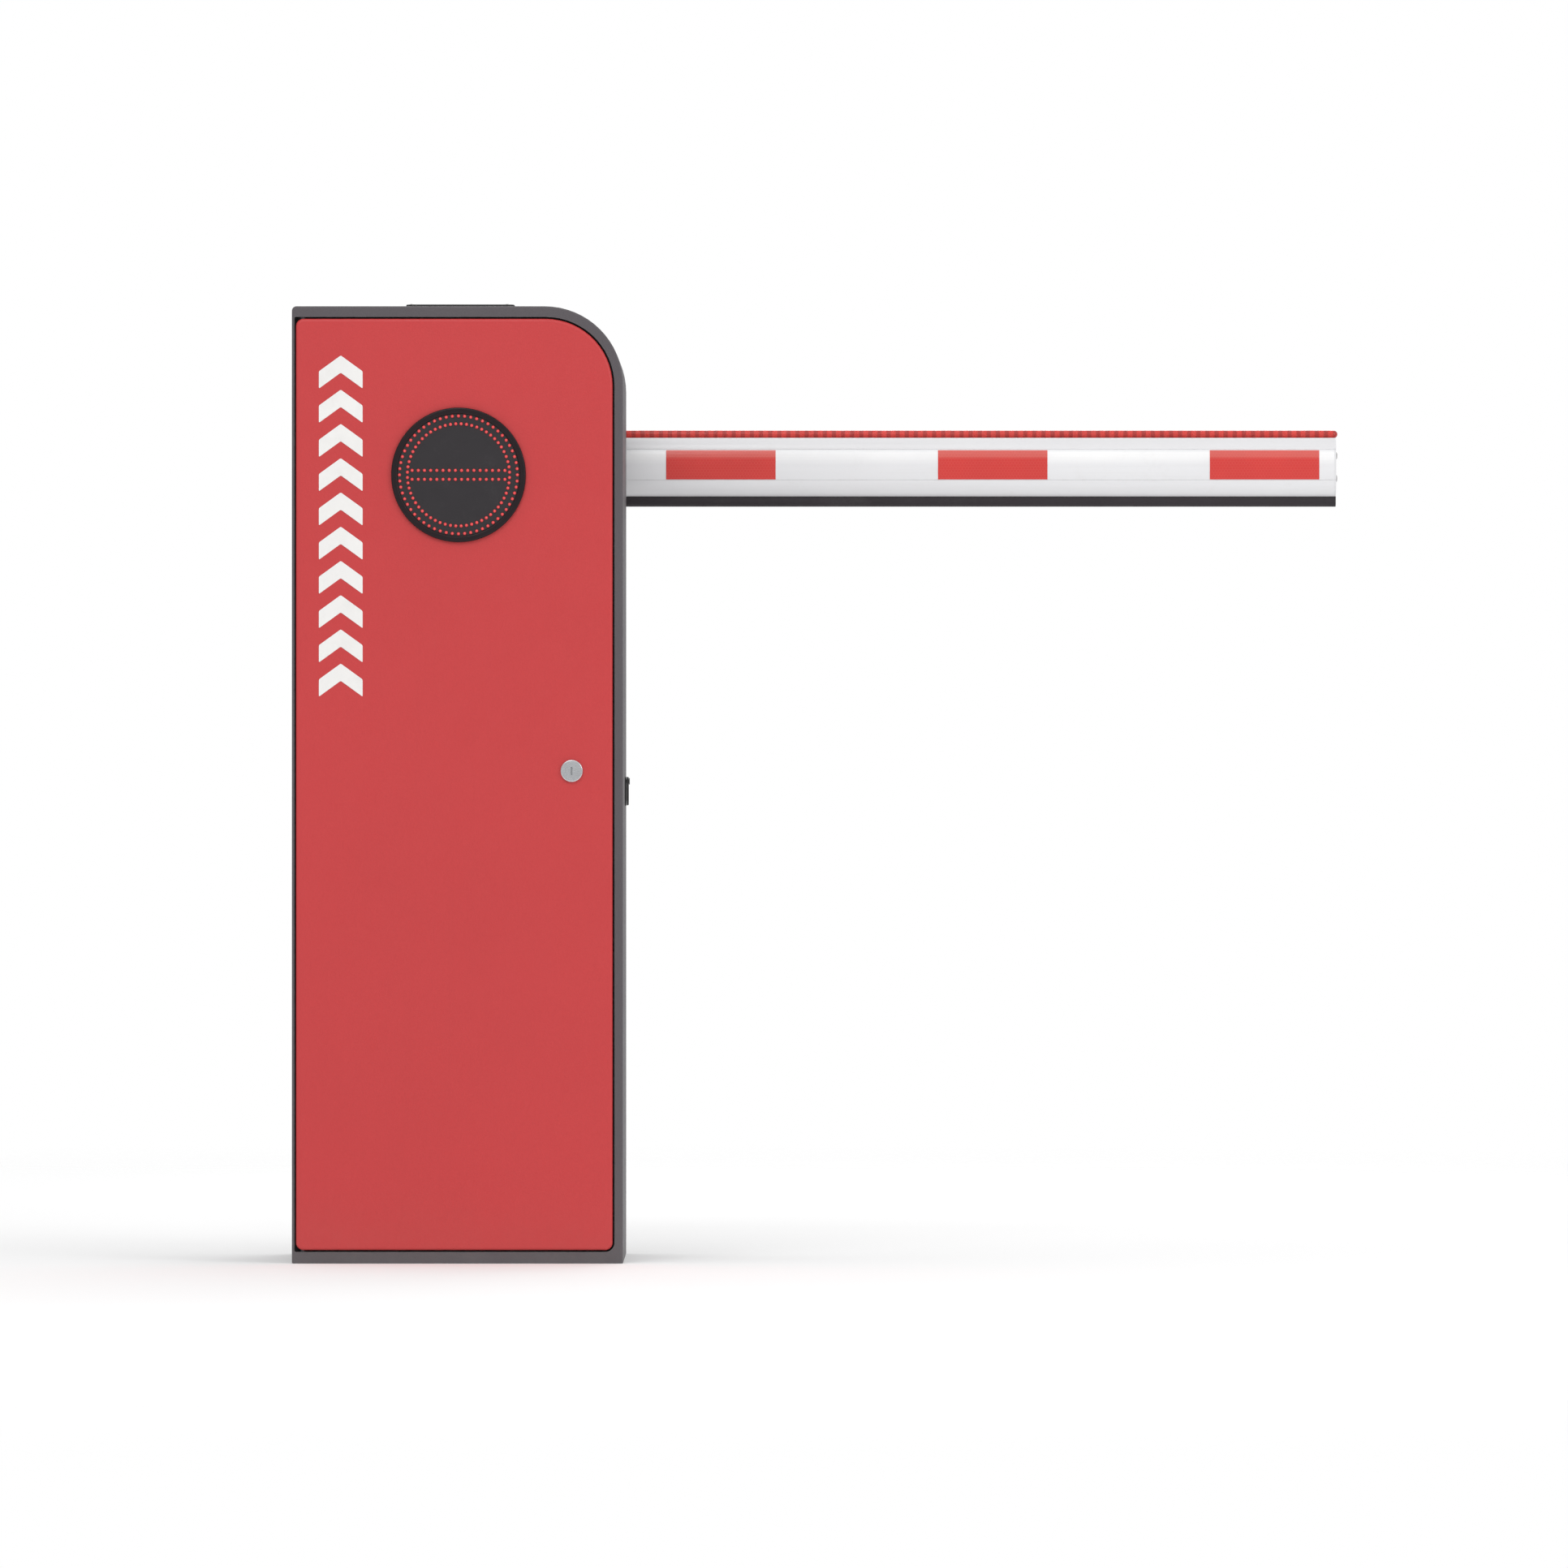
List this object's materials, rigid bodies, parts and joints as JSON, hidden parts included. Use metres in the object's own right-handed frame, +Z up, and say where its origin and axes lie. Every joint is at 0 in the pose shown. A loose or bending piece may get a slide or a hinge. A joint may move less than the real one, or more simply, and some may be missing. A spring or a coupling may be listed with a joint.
{
  "type": "parking barrier gate",
  "caption": "Upright sheet-metal drive cabinet with a hinged front door, a round lamp indicator and a straight horizontal boom lifted by an internal crank drive.",
  "frame": {"origin": "centre of the cabinet's footprint, on the ground", "axes": "+X towards the boom's tip, -Y out of the door, +Z up"},
  "size_m": [1.1353, 0.378, 1.0306],
  "materials": {
    "cabinet_paint": "dark grey textured powder coat",
    "door_paint": "red textured powder coat",
    "zinc_plate": "zinc plated steel sheet, passivated",
    "black_plastic": "fine grained moulded plastic",
    "black_rubber": "matte extruded rubber",
    "shaft_steel": "ground steel, lightly oiled",
    "gear_steel": "hobbed steel, oiled",
    "cast_aluminium": "sand cast, shot blasted",
    "drive_paint": "satin machine enamel",
    "arm_paint": "yellow zinc chromate",
    "bolt_zinc": "bright zinc plated fasteners",
    "spring_steel": "phosphated and oiled spring wire",
    "motor_paint": "black satin enamel",
    "wheel_plastic": "red nylon",
    "boom_paint": "white powder coated aluminium extrusion",
    "cap_plastic": "white moulded plastic",
    "reflector_red": "retroreflective sheet",
    "tube_red": "translucent red polymer with a light string",
    "bezel_black": "satin black moulding",
    "face_smoke": "smoked grey polycarbonate",
    "led_red": "red diffused lamp domes on a board",
    "lock_chrome": "satin chrome",
    "case_grey": "light grey moulded plastic",
    "button_green": "gloss cap",
    "button_red": "gloss cap",
    "button_blue": "gloss cap",
    "terminal_grey": "grey polyamide"
  },
  "bodies": {
    "cabinet": {"cabinet_shell": "cabinet_paint", "base_plate": "zinc_plate", "door_gasket": "black_rubber", "hinge_brackets": "shaft_steel", "antenna_cover": "black_plastic", "shaft_seal": "black_rubber", "drive_rear_plate": "zinc_plate", "drive_front_plate": "zinc_plate", "drive_spacers": "shaft_steel", "bearing_housings": "cast_aluminium", "drive_bolts": "bolt_zinc", "spring_anchor_bracket": "zinc_plate", "stop_buffers": "black_rubber", "stop_brackets": "zinc_plate", "balance_springs": "spring_steel", "spring_tension_rods": "bolt_zinc", "gearbox_housing": "cast_aluminium", "gearbox_cover": "cast_aluminium", "gearbox_screws": "bolt_zinc", "motor_body": "motor_paint", "release_lock_body": "black_plastic", "equipment_plate": "zinc_plate", "controller_case": "case_grey", "din_rail": "bolt_zinc", "terminal_blocks": "terminal_grey", "circuit_breaker": "case_grey", "power_supply": "zinc_plate"},
    "boom": {"main_shaft": "shaft_steel", "bearing_inner_rings": "gear_steel", "rocker_arm": "arm_paint", "spring_arm": "arm_paint", "boom_hub": "drive_paint", "boom_holder": "drive_paint", "boom_clamp_plate": "drive_paint", "boom_clamp_bolts": "bolt_zinc", "boom_profile": "boom_paint", "boom_end_caps": "cap_plastic", "boom_light_tube": "tube_red", "boom_bumper": "black_rubber", "boom_reflectors": "reflector_red"},
    "crank": {"output_gear_shaft": "gear_steel", "crank_arm": "arm_paint"},
    "rod": {"connecting_rod": "drive_paint"},
    "idler": {"idler_gear": "gear_steel"},
    "rotor": {"motor_rotor": "gear_steel", "hand_wheel": "wheel_plastic"},
    "door": {"door_panel": "door_paint", "indicator_bezel": "bezel_black", "indicator_face": "face_smoke", "indicator_led_board": "led_red", "indicator_rear_cover": "black_plastic", "door_lock_housing": "lock_chrome"},
    "lock_cam": {"door_lock_plug": "lock_chrome", "door_lock_cam": "zinc_plate"},
    "dust_cover": {"release_dust_cover": "black_plastic"},
    "release_plug": {"release_lock_plug": "lock_chrome"},
    "open_button": {"button_open": "button_green"},
    "stop_button": {"button_stop": "button_red"},
    "close_button": {"button_close": "button_blue"},
    "toggle": {"breaker_toggle": "black_plastic"}
  },
  "joints": [
    {"name": "boom_lift", "type": "hinge", "parent": "cabinet", "child": "boom", "pos_m": [0, 0, 0.86], "axis": [0, -1, 0], "range_deg": [0, 90], "deforming": ["balance_springs"]},
    {"name": "crank_turn", "type": "hinge", "parent": "cabinet", "child": "crank", "pos_m": [0.08, 0, 0.64], "axis": [0, -1, 0], "range_deg": [0, 90]},
    {"name": "rod_swing", "type": "hinge", "parent": "crank", "child": "rod", "pos_m": [0.12763, 0.068, 0.6125], "axis": [0, -1, 0], "range_deg": [-90, 0]},
    {"name": "idler_turn", "type": "hinge", "parent": "cabinet", "child": "idler", "pos_m": [0.08, 0, 0.565], "axis": [0, -1, 0], "range_deg": [-360, 0]},
    {"name": "rotor_turn", "type": "hinge", "parent": "cabinet", "child": "rotor", "pos_m": [0.08, 0, 0.4975], "axis": [0, -1, 0], "range_deg": [0, 1800]},
    {"name": "door_swing", "type": "hinge", "parent": "cabinet", "child": "door", "pos_m": [-0.166, -0.1405, 0.5], "axis": [0, 0, -1], "range_deg": [0, 95]},
    {"name": "door_lock_turn", "type": "hinge", "parent": "door", "child": "lock_cam", "pos_m": [0.1226, -0.13, 0.5277], "axis": [0, -1, 0], "range_deg": [0, 90]},
    {"name": "dust_cover_swing", "type": "hinge", "parent": "cabinet", "child": "dust_cover", "pos_m": [0.18, 0.03, 0.5167], "axis": [1, 0, 0], "range_deg": [0, 120]},
    {"name": "release_key_turn", "type": "hinge", "parent": "cabinet", "child": "release_plug", "pos_m": [0.17, 0.03, 0.5039], "axis": [1, 0, 0], "range_deg": [0, 90]},
    {"name": "open_button_press", "type": "slide", "parent": "cabinet", "child": "open_button", "axis": [0, 1, 0], "range_m": [0, 0.0015]},
    {"name": "stop_button_press", "type": "slide", "parent": "cabinet", "child": "stop_button", "axis": [0, 1, 0], "range_m": [0, 0.0015]},
    {"name": "close_button_press", "type": "slide", "parent": "cabinet", "child": "close_button", "axis": [0, 1, 0], "range_m": [0, 0.0015]},
    {"name": "breaker_toggle_flip", "type": "hinge", "parent": "cabinet", "child": "toggle", "pos_m": [0.052, 0.078, 0.36], "axis": [1, 0, 0], "range_deg": [0, 56]}
  ],
  "couplings": [
    {"joint": "crank_turn", "follows": "boom_lift", "ratio": 1},
    {"joint": "rod_swing", "follows": "boom_lift", "ratio": -1},
    {"joint": "idler_turn", "follows": "boom_lift", "ratio": -4},
    {"joint": "rotor_turn", "follows": "boom_lift", "ratio": 20}
  ]
}
